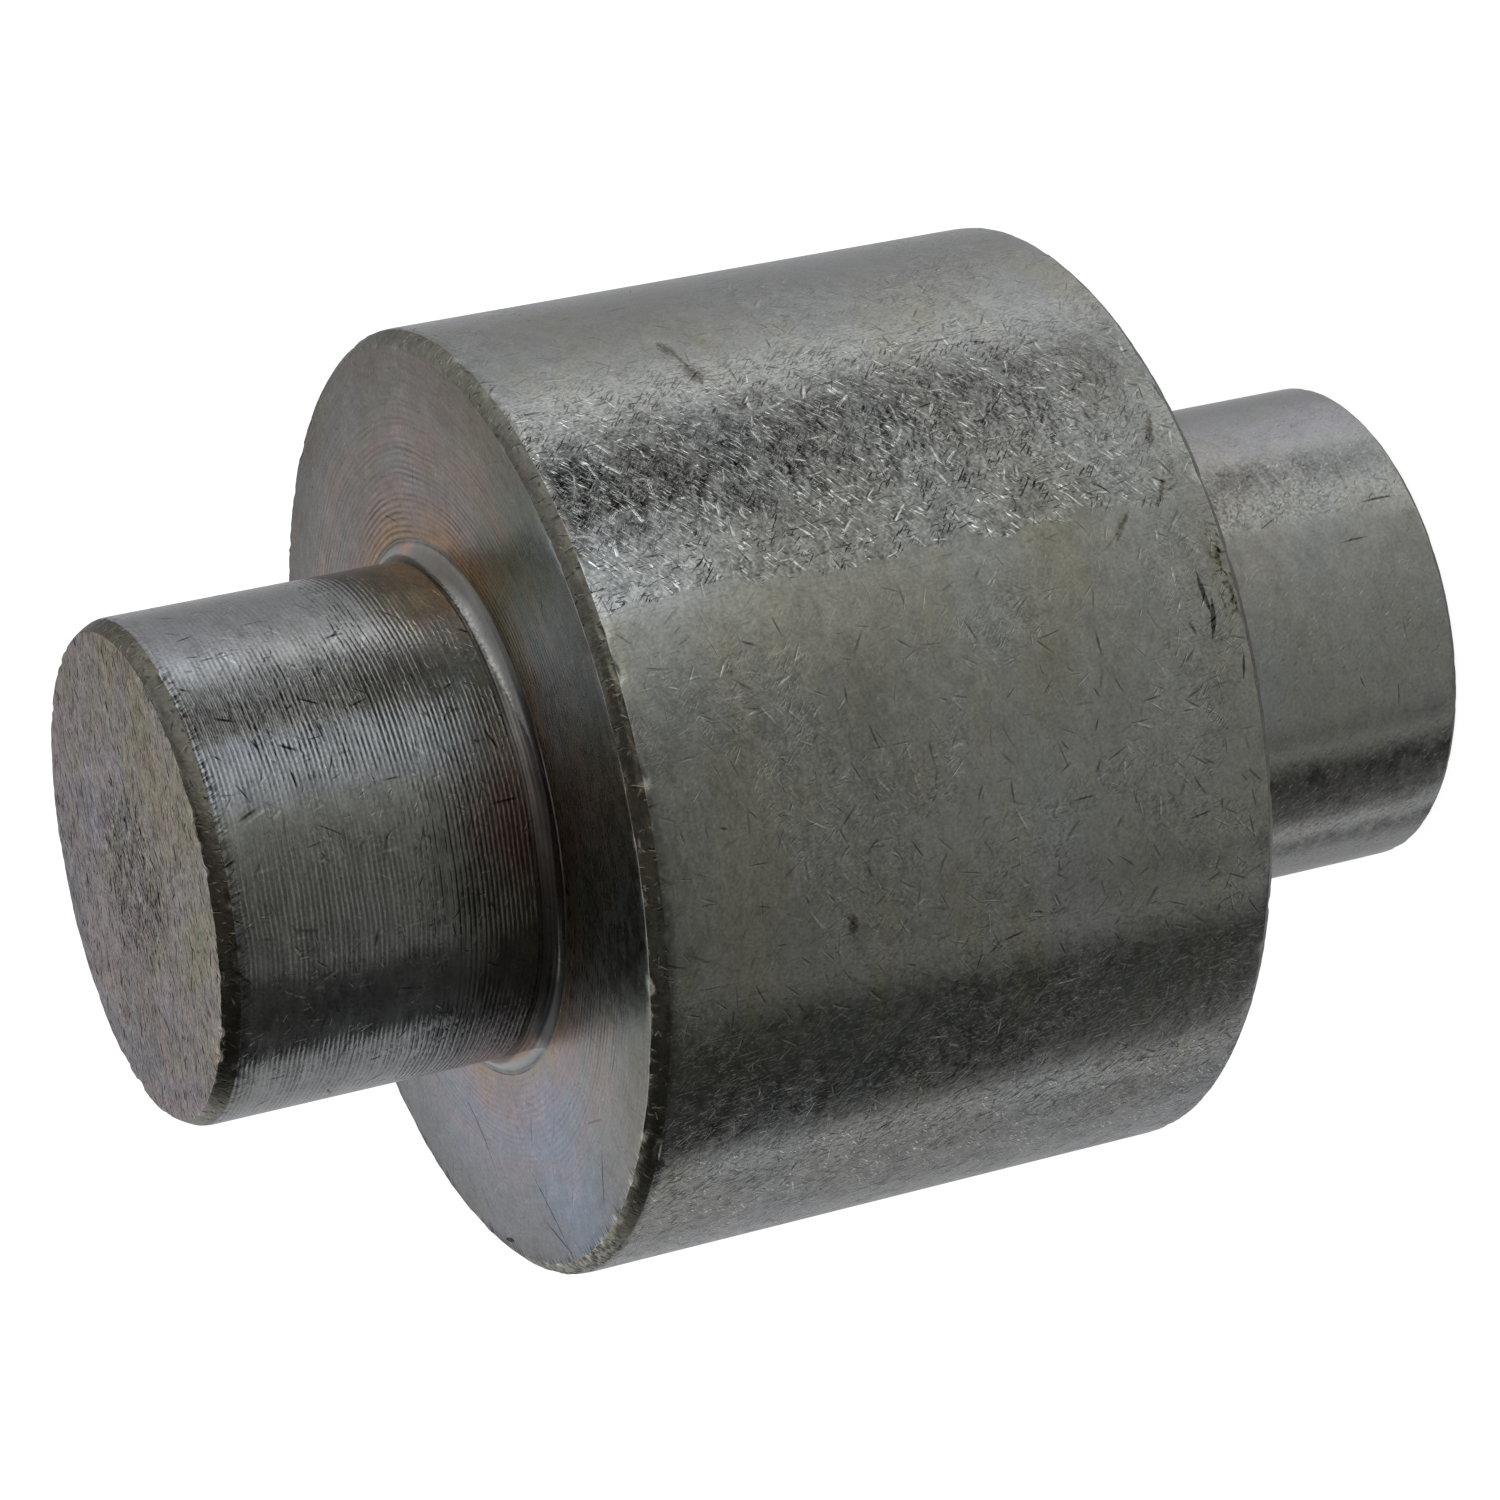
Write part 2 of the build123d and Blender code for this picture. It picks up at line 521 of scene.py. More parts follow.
def profile():
    """The half section as (zone, (r, z)) in mm, from the middle of the foot to that of the end face."""
    root_r = JOURNAL_R + ROOT_FILLET
    low_root_z, high_root_z = LOWER_SHOULDER_Z - ROOT_FILLET, UPPER_SHOULDER_Z + ROOT_FILLET
    runs = (
        ("foot", rings_between((HUB_R, 0.0), FOOT, HIDDEN, 1.6)),
        ("small_edge", rings_between(FOOT, FOOT_TOP, FINE, EDGE_STEP)),
        ("lower_journal", rings_between(FOOT_TOP, (JOURNAL_R, low_root_z), HIDDEN, 1.3)),
        ("lower_root", arc((root_r, low_root_z), ROOT_FILLET, 180, 90, 8)),
        ("lower_shoulder", rings_between((root_r, LOWER_SHOULDER_Z), LOW_EDGE, HIDDEN, 1.3)),
        ("small_edge", rings_between(LOW_EDGE, LOW_EDGE_TOP, FINE, EDGE_STEP)),
        ("barrel", rings_between(LOW_EDGE_TOP, HIGH_EDGE, WALL, 1.0)),
        ("barrel_edge", rings_between(HIGH_EDGE, HIGH_EDGE_TOP, FINE, EDGE_STEP)),
        ("upper_shoulder", rings_between(HIGH_EDGE_TOP, (root_r, UPPER_SHOULDER_Z), WALL, 0.8)),
        ("upper_root", arc((root_r, high_root_z), ROOT_FILLET, 270, 180, 12)),
        ("upper_journal", rings_between((JOURNAL_R, high_root_z), LEAD, WALL, 1.0)),
        ("lead_in", rings_between(LEAD, TIP, FINE, EDGE_STEP)),
        ("end_face", rings_between(TIP, (HUB_R, TOP_Z), WALL, 1.2) + [(HUB_R, TOP_Z)]),
    )
    return [(zone, point) for zone, points in runs for point in points]


def worn(r, z, angle):
    """A point of the section after wear: corners are rounded unevenly and carry small nicks."""
    x, y = r * math.cos(angle), r * math.sin(angle)
    dr = dz = 0.0
    for i, ((corner_r, corner_z), (face_r, face_z), wear, nick, reach) in enumerate(CORNERS):
        gap = math.hypot(r - corner_r, z - corner_z)
        if gap >= reach:
            continue
        p = Vector((x, y, z + CORNER_SPACING * i))
        uneven = 0.55 + 0.45 * noise.noise(p / WEAR_SIZES[0]) + 0.35 * noise.noise(p / WEAR_SIZES[1])
        bite = max(0.0, noise.noise(p / NICK_SIZES[0] + Vector((9, 4, 2))) - NICK_LEVELS[0]) * 2.2
        bite += max(0.0, noise.noise(p / NICK_SIZES[1]) - NICK_LEVELS[1])
        depth = (wear * max(0.1, uneven) + nick * bite) * (1 - gap / reach) ** 1.5
        dr -= face_r * depth
        dz -= face_z * depth
    r = r + dr
    return r * math.cos(angle), r * math.sin(angle), min(TOP_Z, max(0.0, z + dz))


def make_shaft(materials):
    rings, names, n = profile(), list(materials), SEGMENTS
    angles = [math.tau * j / n for j in range(n)]
    verts = [tuple(c * MM for c in worn(r, z, angle)) for _, (r, z) in rings for angle in angles]
    faces = ring_faces(len(rings), n)
    slots = [names.index(zone) for zone, _ in rings[:-1] for _ in range(n)]
    foot, end, top = len(verts), len(verts) + 1, len(verts) - n
    verts += [(0.0, 0.0, 0.0), (0.0, 0.0, TOP_Z * MM)]
    faces += [(foot, (j + 1) % n, j) for j in range(n)]
    faces += [(end, top + j, top + (j + 1) % n) for j in range(n)]
    slots += [names.index("foot")] * n + [names.index("end_face")] * n
    shaft = new_mesh("shaft", verts, faces)
    for material in materials.values():
        shaft.data.materials.append(material)
    shaft.data.polygons.foreach_set("material_index", slots)
    shaft.data.shade_smooth()
    return shaft


# ---- node groups

def new_group(name, inputs, outputs):
    """A group with these sockets: its tree, its graph, what it is given and what it has to deliver."""
    tree = bpy.data.node_groups.new(name, "ShaderNodeTree")
    for way, keys in (("INPUT", inputs), ("OUTPUT", outputs)):
        for key in keys.split():
            kind = "Vector" if key in ("Vector", "Centre", "Mm", "Wall") else "Float"
            tree.interface.new_socket(key, in_out=way, socket_type="NodeSocket" + kind)
    g = Graph(tree)
    return tree, g, g.node("NodeGroupInput").outputs, g.node("NodeGroupOutput").inputs


def place_group():
    """Where a point is, in mm: Mm as it stands; Wall unrolled to (arc, height) at the radius Wrap;
    Turn, the angle from -Y towards +X; Side, the same with the far half mirroring the near one;
    Radius and Height."""
    tree, g, given, wanted = new_group("place", "Wrap", "Mm Wall Turn Side Radius Height")
    mm = g.scaled(g.node("TexCoord").outputs["Object"], 1.0 / MM)
    x, y, z = g.split(mm)
    turn = g.math("ARCTAN2", x, g.times(y, -1.0))
    found = {
        "Mm": mm,
        "Wall": g.join(g.times(turn, given["Wrap"]), z),
        "Turn": turn,
        "Side": g.math("ARCTAN2", x, g.math("ABSOLUTE", y)),
        "Radius": g.math("SQRT", g.total(g.times(x, x), g.times(y, y))),
        "Height": z,
    }
    for key, value in found.items():
        tree.links.new(value, wanted[key])
    return tree


def scratch_group():
    """Scattered scratches, two to a cell: Mask and Cross, each with its own place, direction,
    length and depth from the cell's three random numbers."""
    inputs = "Vector Cell Width Length Share Lean Spread Seed"
    tree, g, given, wanted = new_group("scratches", inputs, "Mask Cross")
    seed = given["Seed"]
    place = g.scaled(given["Vector"], g.math("DIVIDE", 1.0, given["Cell"]))
    place = g.vector("ADD", place, g.join(g.times(seed, 17.3), g.times(seed, 5.7)))
    cell = g.node("TexVoronoi", {"Vector": place, "Scale": 1.0}, voronoi_dimensions="2D").outputs
    h, s, v = g.node("SeparateColor", {0: cell["Color"]}).outputs
    first = g.vector("SUBTRACT", place, cell["Position"])
    second = g.vector("ADD", first, g.join(g.linear(s, 0.4, -0.2), g.linear(h, 0.4, -0.2)))
    width = g.math("DIVIDE", given["Width"], given["Cell"])
    for name, offset, a, b, c in (("Mask", first, h, s, v), ("Cross", second, v, h, s)):
        angle = g.linear(g.linear(a, 2.0, -1.0), given["Spread"], given["Lean"])
        along, across, _ = g.split(g.rotated(offset, angle))
        half = g.times(given["Length"], g.linear(b, 0.7, 0.3))
        share = g.math("DIVIDE", along, half)
        square = g.times(share, share)
        bow = g.times(g.linear(c, 0.12, -0.06), half)
        bent = g.math("ABSOLUTE", g.linear(square, bow, across))
        line = g.step(g.math("DIVIDE", bent, g.times(width, g.linear(c, 0.8, 0.5))), 1.0, 0.35)
        taper = g.most(g.math("SUBTRACT", 1.0, square), 0.0)
        kept = g.math("LESS_THAN", g.math("FRACT", g.linear(b, 7.31, a)), given["Share"])
        depth = g.linear(g.math("FRACT", g.times(c, 13.7)), 0.7, 0.3)
        tree.links.new(g.times(g.times(line, taper), g.times(kept, depth)), wanted[name])
    return tree


def mark_group():
    """One gouge or stain at a set place: Length and Width in mm, leaning by Lean and bent by Bend;
    Ragged is the noise of its rim."""
    inputs = "Vector Centre Length Width Lean Bend Soft Ragged"
    tree, g, given, wanted = new_group("mark", inputs, "Mask")
    offset = g.vector("SUBTRACT", given["Vector"], given["Centre"])
    along, across, _ = g.split(g.rotated(offset, given["Lean"]))
    share = g.math("DIVIDE", along, g.times(given["Length"], 0.5))
    square = g.times(share, share)
    bent = g.math("ABSOLUTE", g.total(across, g.times(square, given["Bend"])))
    reach = g.math("SUBTRACT", g.math("SUBTRACT", 1.0, square), given["Ragged"])
    edge = g.math("SUBTRACT", reach, g.math("DIVIDE", bent, given["Width"]))
    tree.links.new(g.step(edge, 0.0, given["Soft"]), wanted["Mask"])
    return tree


PLACE = place_group()
SCRATCHES = scratch_group()
MARK = mark_group()


def scratches(g, plane, cell, width, length=0.42, share=0.85, lean=0.0, spread=1.6, seed=0.0):
    """The two masks of one layer of scratches: cell and width in mm, length the longest half length
    in cells, lean and spread in radians."""
    values = {"Vector": plane, "Cell": cell, "Width": width, "Length": length, "Share": share}
    return g.group(SCRATCHES, values | {"Lean": lean, "Spread": spread, "Seed": seed})[:2]


def strokes(g, plane, lean, length, width, level, seed):
    """Uneven strokes leaning by lean in radians, cut at this level from a noise stretched to this
    length and width in mm."""
    drawn = g.vector("MULTIPLY", g.rotated(plane, lean), (1.0 / length, 1.0 / width, 1.0))
    drawn = g.vector("ADD", drawn, (seed, 3.7 * seed, seed))
    return g.step(g.noise(drawn, 1.0, 1.0, 0.6), level, level + 0.07)


def marks(g, plane, wrap, places, ragged=0.5, soft=0.4):
    """The union of the marks of a table, on a wall of radius wrap or, without one, on a flat face."""
    rim = g.times(g.centred(g.noise(plane, 0.16, 2.0, 0.6)), 2.0 * ragged)
    found = []
    for across, up, length, width, lean, bend in places:
        centre = (math.radians(90 - across) * wrap if wrap else across, up, 0.0)
        values = {"Vector": plane, "Centre": centre, "Length": length, "Width": width}
        values |= {"Lean": math.radians(lean), "Bend": bend, "Soft": soft, "Ragged": rim}
        found.append(g.group(MARK, values)[0])
    return g.most(*found)


def grooves(g, along, pitch, mm):
    """Turning grooves: a wave of this pitch along one coordinate, each groove of its own depth."""
    wobble = g.times(g.noise(mm, 4.0, 1.0), pitch * 1.4)
    phase = g.math("DIVIDE", g.total(along, wobble), pitch)
    wave = g.linear(g.math("COSINE", g.times(phase, math.tau)), 0.5, 0.5)
    each = g.node("TexWhiteNoise", {"W": g.math("FLOOR", phase)}, noise_dimensions="1D").outputs["Value"]
    return g.times(wave, g.linear(each, 0.7, 0.3))


# ---- what sets each kind of zone apart; +X is the top of the picture, and sizes are in mm

def dress_barrel(g, at):
    """Two scuffed bands along the barrel, scratches, stains and gouges, and pits by the lower edge."""
    plane, mm, turn, up = at["Wall"], at["Mm"], at["Side"], at["Height"]
    low = g.linear(g.noise(mm, 1.2, 0.0), math.radians(4.0), math.radians(20.3))
    beyond = g.sweep(g.math("SUBTRACT", turn, low), 0.0, 0.6)
    band = g.times(beyond, g.sweep(turn, 60, 44), g.step(up, 14.5, 20.0, 0.35, 1.0))
    under = g.times(g.sweep(turn, -22, -30), g.sweep(turn, -42, -50, 0.05, 0.75))
    patchy = g.step(g.noise(mm, 5.0, 0.0), 0.5, 0.66)
    scuffed = g.most(band, under, g.times(patchy, 0.32))
    worked = g.times(scuffed, g.step(g.noise(plane, 0.8, 0.0), 0.34, 0.6, 0.25, 1.0))
    swapped = g.step(g.noise(plane, 1.7, 0.0), 0.47, 0.55)

    falling = g.times(strokes(g, plane, 0.75, 0.6, 0.095, 0.575, 5.0), swapped)
    rising = g.times(strokes(g, plane, -0.65, 0.55, 0.085, 0.585, 9.0), g.math("SUBTRACT", 1.25, swapped))
    steep = g.times(strokes(g, plane, 1.45, 0.5, 0.09, 0.6, 13.0), 0.8)
    cut, ridge = scratches(g, plane, 1.1, 0.055, share=0.95, length=0.5, seed=2.0)
    long, pale = scratches(g, plane, 1.6, 0.06, share=0.55, length=0.4, seed=3.0)
    hatched = g.times(g.most(falling, steep), g.linear(worked, 0.9, 0.1))
    cut = g.most(hatched, g.times(cut, g.linear(scuffed, 0.6, 0.4)))
    raised = g.times(rising, worked, g.step(scuffed, 0.25, 0.6, 0.25, 1.0))
    # ridges of strokes and scratches: lighter worn metal, and partly painted glints through their strong
    # lightening
    ridge = g.most(raised, g.times(ridge, g.linear(scuffed, 0.95, 0.05)))

    gouges = marks(g, plane, BARREL_R, BARREL_GOUGES)
    stains = marks(g, plane, BARREL_R, BARREL_STAINS, ragged=1.0, soft=0.9)
    specks = g.step(g.noise(mm, 0.22, 1.0), 0.56, 0.66)
    pits = g.times(specks, g.step(up, 15.2, 14.5), *g.between(turn, 5, 10, 17, 24))
    # painted highlight: the barrel is made lighter and bluer from 31 to 37 mm up, part way round towards +X
    glow = g.times(g.step(up, 31.0, 37.0), *g.between(turn, 19, 24, 31, 37))
    rim = g.step(g.linear(g.noise(plane, 0.35, 1.0, 0.7), 0.7, up), 39.5, 39.72)
    film = g.noise(g.vector("MULTIPLY", mm, (0.4, 0.4, 1.3)), 3.0, 2.0, 0.6)
    return {
        "tint": g.coats(
            g.ramp(film, BARREL_FILM),
            (g.times(scuffed, 0.8), (0.995, 1.0, 1.015)),
            (glow, (0.97, 1.0, 1.06)),
            (g.most(pits, g.times(stains, 0.5)), (1.15, 0.95, 0.75)),
        ),
        "dark": g.weighted((rim, 0.3), (cut, 1.15), (long, 0.9), (gouges, 0.95), (stains, 0.78), (pits, 0.8)),
        "bright": g.weighted((ridge, 2.0), (pale, 0.2), (glow, 0.5)),
        "height": g.weighted((cut, -0.028), (ridge, 0.03)),
        "stir": g.linear(scuffed, 1.3, 1.0),
    }


def dress_upper_journal(g, at):
    """Broken turning grooves, blued towards +X, a painted dark band, and a film of colours that fades away
    from the root; the grooves' darkness and the film round the axis also carry painted light and shade.
    """
    plane, mm, turn, up = at["Wall"], at["Mm"], at["Side"], at["Height"]
    around = g.around(turn)
    streaks = g.noise(g.vector("MULTIPLY", plane, (1.0, 2.5, 1.0)), 0.35, 1.0)
    wave = g.times(grooves(g, up, 0.2, mm), g.step(streaks, 0.36, 0.6, 0.5, 1.0))
    clear = g.most(g.times(g.step(up, 45.6, 43.4), g.sweep(turn, 34, 24)), g.sweep(turn, 14, 20))
    broken = g.step(g.noise(mm, 0.9, 1.0), 0.3, 0.6, 0.55, 1.0)
    smooth = g.times(g.step(up, 45.0, 42.5), g.sweep(turn, 27, 32), g.sweep(turn, 90, 46, 0.5, 1.0))
    strength = g.times(g.linear(clear, 0.75, 0.55), broken, g.linear(smooth, -0.7, 1.0))
    # painted shade: the table round the axis makes the grooves darker or fainter by side
    turned = g.times(wave, g.times(strength, g.ramp(around, JOURNAL_GROOVES_AND_PAINTED_SHADE)))

    cut, ridge = scratches(g, plane, 0.8, 0.05, share=0.85, seed=11.0)
    long, pale = scratches(g, plane, 1.7, 0.07, share=0.75, seed=12.0)
    patchy = g.step(g.noise(mm, 2.5, 2.0), 0.42, 0.6, 0.2, 1.0)
    cut, ridge = g.times(cut, patchy), g.times(ridge, patchy)
    hatch = strokes(g, plane, 1.1, 0.6, 0.12, 0.5, 15.0)
    torn = g.times(hatch, g.step(up, 52.1, 52.75), g.sweep(turn, 60, 45, 0.4, 1.0))
    # painted shade: a darker band round the journal, part way from the camera's side towards +X
    shade = g.times(g.sweep(turn, 41, 37), g.sweep(turn, 28, 33))
    # the root's film of colours; its ramp round the axis also paints light and shade
    film = g.total(around, g.linear(g.noise(mm, 2.0, 1.0), 0.1, -0.05))
    return {
        "tint": g.coats(
            g.mix(g.sweep(turn, 35, 48), (0.98, 1.0, 1.03), (0.985, 1.0, 1.07)),
            (g.times(*g.between(turn, 10, 17, 26, 33)), (0.94, 1.0, 1.17)),
            (shade, (0.66, 0.665, 0.68)),
            (g.step(up, 44.6, 41.2), g.ramp(film, JOURNAL_ROOT_FILM_AND_PAINTED_LIGHT)),
        ),
        "dark": g.weighted((cut, 0.75), (long, 1.15), (turned, 0.5), (torn, 0.7)),
        "bright": g.weighted((ridge, 0.7), (pale, 0.7)),
        "height": g.weighted((turned, 0.016), (cut, -0.014), (ridge, 0.01)),
        "stir": g.linear(patchy, 0.8, 1.0),
    }


def dress_lower_journal(g, at):
    """A hatched band, a scuffed underside, scratches and a few gouges."""
    plane, mm, turn, up = at["Wall"], at["Mm"], at["Side"], at["Height"]
    hatched = g.times(*g.between(turn, 27, 33, 45, 52), g.step(up, 2.0, 5.0, 0.5, 1.0))
    worked = g.most(hatched, g.times(g.sweep(turn, -24, -30), 0.6))
    patchy = g.most(worked, g.step(g.noise(mm, 3.0, 2.0), 0.42, 0.6, 0.15, 0.6))
    cut, ridge = scratches(g, plane, 0.5, 0.035, share=0.85, length=0.5, lean=0.9, spread=0.35, seed=21.0)
    long, pale = scratches(g, plane, 1.8, 0.05, share=0.5, seed=22.0)
    cut, ridge = g.times(cut, patchy), g.times(ridge, patchy)
    gouges = marks(g, plane, JOURNAL_R, LOWER_JOURNAL_GOUGES)
    mauve = g.times(g.sweep(turn, 46, 60), g.step(g.noise(mm, 3.0, 1.0), 0.4, 0.6))
    rusty = g.times(g.sweep(turn, -62, -74), g.step(up, 2.0, 8.0))
    film = g.ramp(g.noise(mm, 4.0, 2.0), LOWER_JOURNAL_FILM)
    return {
        "tint": g.coats(film, (mauve, (1.03, 0.98, 1.08)), (rusty, (1.12, 0.97, 0.92))),
        "dark": g.weighted((cut, 0.75), (long, 0.4), (gouges, 0.85)),
        "bright": g.weighted((ridge, 0.7), (pale, 0.25)),
        "height": g.weighted((cut, -0.012), (ridge, 0.01)),
        "stir": g.linear(worked, 1.6, 1.0),
    }


def dress_shoulder(g, at):
    """A turned face under a swirling film of colours, scratched, and torn at the rim towards -X, made lighter
    and darker by side with painted light and shade.
    """
    mm, radius, turn = at["Mm"], at["Radius"], at["Turn"]
    x, y, _ = g.split(mm)
    swirl = g.linear(g.noise(mm, 4.0, 2.0, 0.55), 4.5, -2.25)
    outward = g.math("SUBTRACT", radius, JOURNAL_R + ROOT_FILLET)
    film = g.ramp(g.math("DIVIDE", g.total(outward, swirl), SHOULDER_FILM_WIDTH), SHOULDER_FILM)
    # painted light and shade: this ramp round the axis lightens and darkens the face by side
    tint = g.tinted(film, g.ramp(g.around(turn), SHOULDER_TINT_AND_PAINTED_LIGHT))
    # painted light: the face is lighter and bluer towards -X, a little darker and warmer towards +X
    warm, cold = g.tinted(tint, (0.95, 0.92, 0.90)), g.tinted(tint, (1.20, 1.22, 1.33))

    clear = g.most(g.sweep(turn, -30, -55, 1.0, 0.3), g.sweep(turn, -140, -178))
    near = g.linear(g.step(radius, 18.0, 11.5), 1.2, 0.2)
    strength = g.times(near, g.step(g.noise(mm, 3.5, 1.0), 0.36, 0.56, 0.35, 1.0), clear)
    wave = g.times(grooves(g, radius, 0.25, mm), strength)
    ring_x, ring_y = (g.math("DIVIDE", g.times(c, 1.5), radius) for c in (x, y))
    rings = g.centred(g.noise(g.join(ring_x, ring_y, g.times(radius, 0.5)), 0.16, 2.0, 0.7))
    rings = g.times(rings, g.linear(clear, 1.2, 0.2))
    cut, ridge = scratches(g, mm, 0.75, 0.045, share=0.7, seed=31.0)
    long, pale = scratches(g, mm, 2.6, 0.06, share=0.4, seed=32.0)
    gouges = marks(g, mm, None, SHOULDER_SCRATCHES)
    rim = g.linear(g.noise(mm, 2.0, 1.0), 1.6, 17.1)
    torn = g.times(
        strokes(g, mm, -0.5, 0.9, 0.13, 0.47, 33.0),
        g.step(radius, rim, g.total(rim, 0.7)),
        g.sweep(turn, -38, -54),
        g.sweep(turn, -178, -160),
    )
    return {
        "tint": g.mix(g.step(x, 4.0, -12.0), warm, cold),
        "dark": g.weighted((cut, 0.35), (long, 0.6), (wave, 0.65), (gouges, 0.9), (torn, 0.8), (rings, 0.45)),
        "bright": g.weighted((ridge, 0.3), (pale, 0.3), (strength, 0.2)),
        "height": g.weighted((wave, 0.008), (rings, 0.006)),
    }


def dress_end(g, at):
    """A hatched and scratched face with a darker core that keeps its turning grooves."""
    mm, radius = at["Mm"], at["Radius"]
    x, y, _ = g.split(mm)
    core = g.step(g.linear(g.noise(mm, 1.6, 2.0), 3.0, radius), 6.0, 3.9)
    wave = grooves(g, radius, 0.3, mm)
    fibre = g.centred(g.noise(g.vector("MULTIPLY", mm, (0.7, 1.4, 1.0)), 0.3, 2.0, 0.7))
    swapped = g.step(g.noise(mm, 1.3, 1.0), 0.44, 0.56)
    level = g.times(strokes(g, mm, 0.2, 0.6, 0.11, 0.56, 7.0), g.linear(swapped, 0.7, 0.3))
    crossed = g.times(strokes(g, mm, -0.45, 0.5, 0.1, 0.58, 8.0), g.linear(swapped, -0.7, 1.0))
    hatch = g.times(g.most(level, crossed), g.linear(core, 0.35, 0.5))
    long, pale = scratches(g, mm, 1.1, 0.055, length=0.48, share=0.9, lean=0.1, spread=0.5, seed=42.0)
    short, glint = scratches(g, mm, 0.7, 0.05, length=0.45, share=0.7, spread=1.2, seed=43.0)
    slope = g.linear(x, 0.012, g.linear(y, -0.03, 0.42))
    film = g.total(slope, g.linear(g.noise(mm, 2.6, 2.0), 1.3, -0.65))
    turned = g.times(wave, core)
    return {
        "tint": g.ramp(film, END_FILM),
        "dark": g.weighted(
            (hatch, 1.5), (long, 1.7), (short, 1.2), (core, 0.12), (turned, 0.3), (fibre, 0.9)
        ),
        "bright": g.weighted((pale, 0.3), (glint, 0.25)),
        "height": g.weighted((hatch, -0.008), (fibre, 0.01)),
        "stir": g.linear(core, 0.9, 1.0),
    }


def dress_edge(g, at):
    """A worn chamfer: dark, rough, crossed by burrs, and made lighter and darker by side with painted light
    and shade.
    """
    mm, side = at["Mm"], at["Side"]
    burr, cut = scratches(g, at["Wall"], 0.5, 0.055, length=0.5, share=0.95, seed=51.0)
    rust = g.step(g.noise(mm, 2.2, 2.0, 0.6), 0.54, 0.7)
    plate = g.mix(rust, (1.0, 1.0, 0.94), (1.06, 0.92, 0.80))
    blotch = g.step(g.noise(mm, 0.6, 3.0, 0.65), 0.48, 0.66)
    bottom = g.times(g.sweep(side, -55, -72), g.step(at["Radius"], 12.0, 14.0))
    chips = g.times(bottom, g.linear(g.step(g.noise(mm, 0.3, 1.0, 0.7), 0.46, 0.56), 0.55, 0.15))
    return {
        # painted light and shade: the ramp round the axis lightens and darkens the chamfer by side
        "tint": g.tinted(plate, g.ramp(g.around(side), EDGE_PAINTED_LIGHT)),
        "dark": g.total(g.weighted((blotch, 0.25), (cut, 0.7)), chips),
        "bright": g.times(burr, 0.7),
        "height": g.weighted((g.noise(mm, 0.35, 2.0, 0.7), 0.022), (burr, 0.018), (cut, -0.018)),
        "stir": 0.8,
    }


def dress_root(g, at):
    """The fillet, mostly painted reflection: a lighter band beside a darker inner part, its width changing
    round the axis, that narrows to a painted highlight hairline by the shoulder, with a painted highlight
    patch, painted shade and orange tints at its ends, and elsewhere turned like its two neighbours. `out` is
    0 at the journal and 1 at the shoulder."""
    turn, mm, radius = at["Side"], at["Mm"], at["Radius"]
    out = g.math("DIVIDE", g.math("SUBTRACT", radius, JOURNAL_R), ROOT_FILLET)
    start = g.total(g.ramp(g.around(turn), ROOT_PAINTED_REFLECTION), 0.08)
    inner = g.math("SUBTRACT", g.linear(g.noise(mm, 0.3, 2.0), 0.16, out), start)
    top, bottom = g.sweep(turn, 48, 68), g.sweep(turn, -54, -68)
    ends = g.most(top, bottom)
    rim = g.total(g.linear(g.noise(mm, 0.5, 1.0), 0.2, 0.95), g.times(ends, -0.5))
    rings = g.times(g.step(out, rim, 1.05), ends)
    inside = g.math("SUBTRACT", 1.0, rings)
    plain = g.math("SUBTRACT", 1.0, g.times(g.step(inner, 0.0, 0.06), inside))
    # painted highlight: a bright, rougher hairline on the fillet by the shoulder
    line = g.times(
        g.step(out, 0.82, 0.92),
        g.sweep(turn, 24, 8),
        g.sweep(turn, -34, -22),
        g.sweep(turn, -8, -20, 1.0, 0.6),
    )
    # painted highlight: a lighter patch on the outer fillet towards +X
    lit = g.times(g.step(out, 0.5, 0.85), g.sweep(turn, 14, 30), inside)
    # painted shade: the fillet darker away from the journal, part way round towards -X
    painted_inner_shade = g.times(g.step(out, 0.1, 0.3), g.sweep(turn, -34, -44), g.sweep(turn, -64, -57))
    low = g.sweep(turn, 30, 0)
    flecks = g.times(
        g.step(inner, -0.12, 0.0),
        g.step(inner, 0.2, 0.06),
        *g.between(turn, 16, 28, 52, 66),
        g.step(g.noise(mm, 0.16, 1.0, 0.7), 0.44, 0.6),
    )
    wave = g.times(plain, grooves(g, at["Height"], 0.16, mm))
    ring = g.times(rings, grooves(g, radius, 0.2, mm))
    sheen = g.noise(g.vector("MULTIPLY", mm, (0.5, 0.5, 1.0)), 0.9, 2.0, 0.7)
    cut, ridge = scratches(g, at["Wall"], 0.6, 0.05, share=0.6, seed=61.0)
    # painted reflection: the part outside the lighter band is darkened, a little less towards -X
    shade = g.linear(low, -0.13, 0.62)
    dark = g.weighted((plain, shade), (wave, 0.3), (ring, 0.9), (painted_inner_shade, 0.75), (cut, 0.3))
    return {
        "tint": g.coats(
            g.mix(low, (0.72, 0.71, 0.70), (0.84, 0.72, 0.70)),
            (g.sweep(turn, -15, -35), (1.0, 0.96, 0.93)),
            (top, g.mix(g.sweep(turn, 84, 90), (0.68, 0.62, 0.54), (1.6, 0.72, 0.55))),
            (g.times(rings, top), (0.95, 0.78, 0.66)),
            (bottom, g.mix(g.step(out, 0.5, 0.3), (0.80, 0.80, 0.82), (1.1, 0.66, 0.36))),
        ),
        "dark": g.math("MINIMUM", g.total(dark, g.linear(sheen, 0.8, -0.4)), 1.15),
        "bright": g.weighted((ridge, 0.3), (line, 2.6), (lit, 1.1), (flecks, 0.5)),
        "height": g.weighted((sheen, 0.02), (wave, 0.01), (ring, 0.008)),
        "rough": g.weighted((line, 0.4), (lit, 0.25)),
    }


# ---- materials

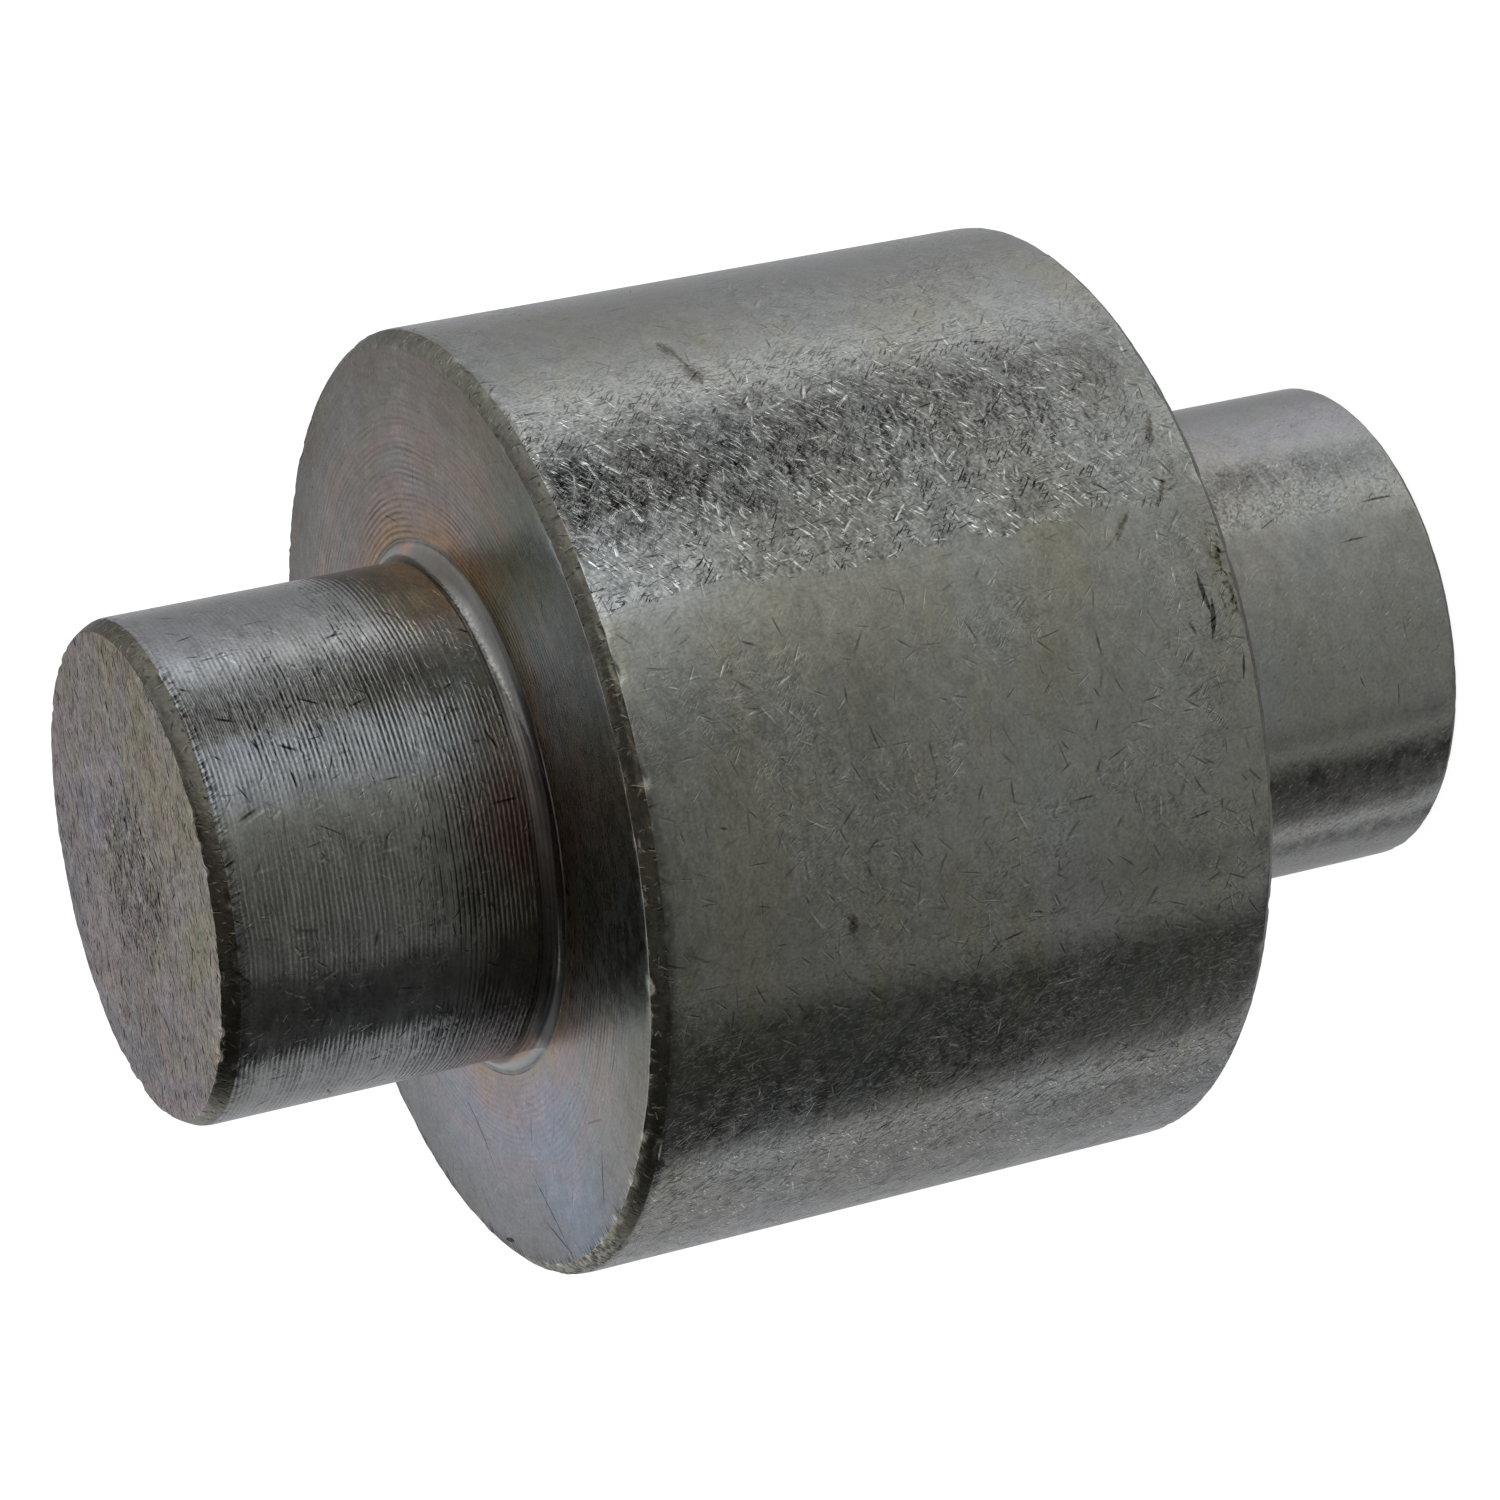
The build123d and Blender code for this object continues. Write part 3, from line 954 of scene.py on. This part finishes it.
def plated(name, dress, tone, roughness, wrap=0.0, mottle=0.5, relief=1.0, stretch=1.0, glance=1.0):
    """A plated zone. dress(g, place) adds what sets it apart: tint, dark, bright, height in mm, more
    rough, and stir, which strengthens the mottle. The mottle is stretched across the axis, relief
    is its height, and glance is the shine at glancing angles."""
    material, g = new_material(name)
    shader = material.node_tree.nodes["Principled BSDF"]
    place = g.group(PLACE, {"Wrap": wrap})
    own = {"stir": 1.0, "rough": 0.0} | dress(g, place)
    dark, bright, stir = own["dark"], own["bright"], own["stir"]

    mm = place["Mm"]
    drawn = g.vector("MULTIPLY", mm, (1.0 / stretch, 1.0 / stretch, 1.0))
    broad = g.noise(drawn, BROAD_SIZE, 1.0, 0.6)
    spots = g.times(g.centred(g.noise(drawn, SPOT_SIZE, 2.0, 0.8)), stir)
    grain = g.times(g.centred(g.noise(mm, GRAIN_SIZE, 0.0)), stir, GRAIN_SHARE)
    warm, cool = (tuple(c * k for c, k in zip(tone, film)) for film in (WARM_PLATE, COOL_PLATE))
    colour = g.tinted(g.mix(g.step(broad, 0.35, 0.65), warm, cool), own["tint"])
    level = g.total(1.0, g.times(spots, mottle), g.times(grain, mottle))
    level = g.total(level, g.linear(broad, BROAD_SHADE, -BROAD_SHADE / 2))
    level = g.times(level, g.linear(dark, DARKENING, 1.0), g.linear(bright, BRIGHTENING, 1.0))
    level = g.most(level, DARKEST)
    rough = g.total(roughness, own["rough"], g.times(spots, SPOT_ROUGHNESS), g.times(dark, DARK_ROUGHNESS))
    swell = g.times(g.noise(mm, SWELL_SIZE, 0.0), SWELL_HEIGHT)
    height = g.total(own["height"], g.times(spots, SPOT_HEIGHT * relief), swell)
    bump = g.node("Bump", {"Height": height, "Distance": MM, "Strength": 1.0})
    linked = {
        "Base Color": g.tinted(colour, g.join(level, level, level)),
        "Roughness": rough,
        "Normal": bump.outputs["Normal"],
    }
    for key, value in linked.items():
        g.tree.links.new(value, shader.inputs[key])
    shader.inputs["Metallic"].default_value = 1.0
    shader.inputs["Specular Tint"].default_value = (glance, glance, glance, 1.0)
    return material


JOURNAL = {"wrap": JOURNAL_R, "relief": 0.5}
ROOT = {"wrap": JOURNAL_R, "mottle": 0.2, "relief": 0.4}
SHOULDER = {"mottle": 0.45, "relief": 0.5, "glance": 0.5}
# what plated() is given for each zone, in the order of the shaft's material slots
ZONES = {
    "foot": (dress_end, END_TONE, 0.4, {"glance": 0.5}),
    "small_edge": (dress_edge, SMALL_EDGE_TONE, 0.35, {"wrap": BARREL_R}),
    "lower_journal": (dress_lower_journal, GREY, 0.2, {**JOURNAL, "mottle": 0.6, "stretch": 1.5}),
    "lower_root": (dress_root, ROOT_TONE, 0.2, ROOT),
    "lower_shoulder": (dress_shoulder, FACE_TONE, 0.3, SHOULDER),
    "barrel": (dress_barrel, GREY, 0.2, {"wrap": BARREL_R, "mottle": 0.62, "relief": 0.8, "stretch": 1.3}),
    "barrel_edge": (dress_edge, EDGE_TONE, 0.25, {"wrap": BARREL_R, "mottle": 0.8, "glance": 0.5}),
    "upper_shoulder": (dress_shoulder, FACE_TONE, 0.26, SHOULDER),
    "upper_root": (dress_root, ROOT_TONE, 0.2, ROOT),
    "upper_journal": (dress_upper_journal, GREY, 0.19, {**JOURNAL, "mottle": 0.62, "stretch": 2.5}),
    "lead_in": (dress_edge, LEAD_TONE, 0.25, {"wrap": JOURNAL_R, "mottle": 0.8, "glance": 0.5}),
    "end_face": (dress_end, END_TONE, 0.38, {"mottle": 1.1, "glance": 0.5}),
}

make_world()
make_camera()
make_floor()
make_tent()
shaft = make_shaft({name: plated(name, *given, **more) for name, (*given, more) in ZONES.items()})
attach(shaft, "root")
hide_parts("stepped_shaft")
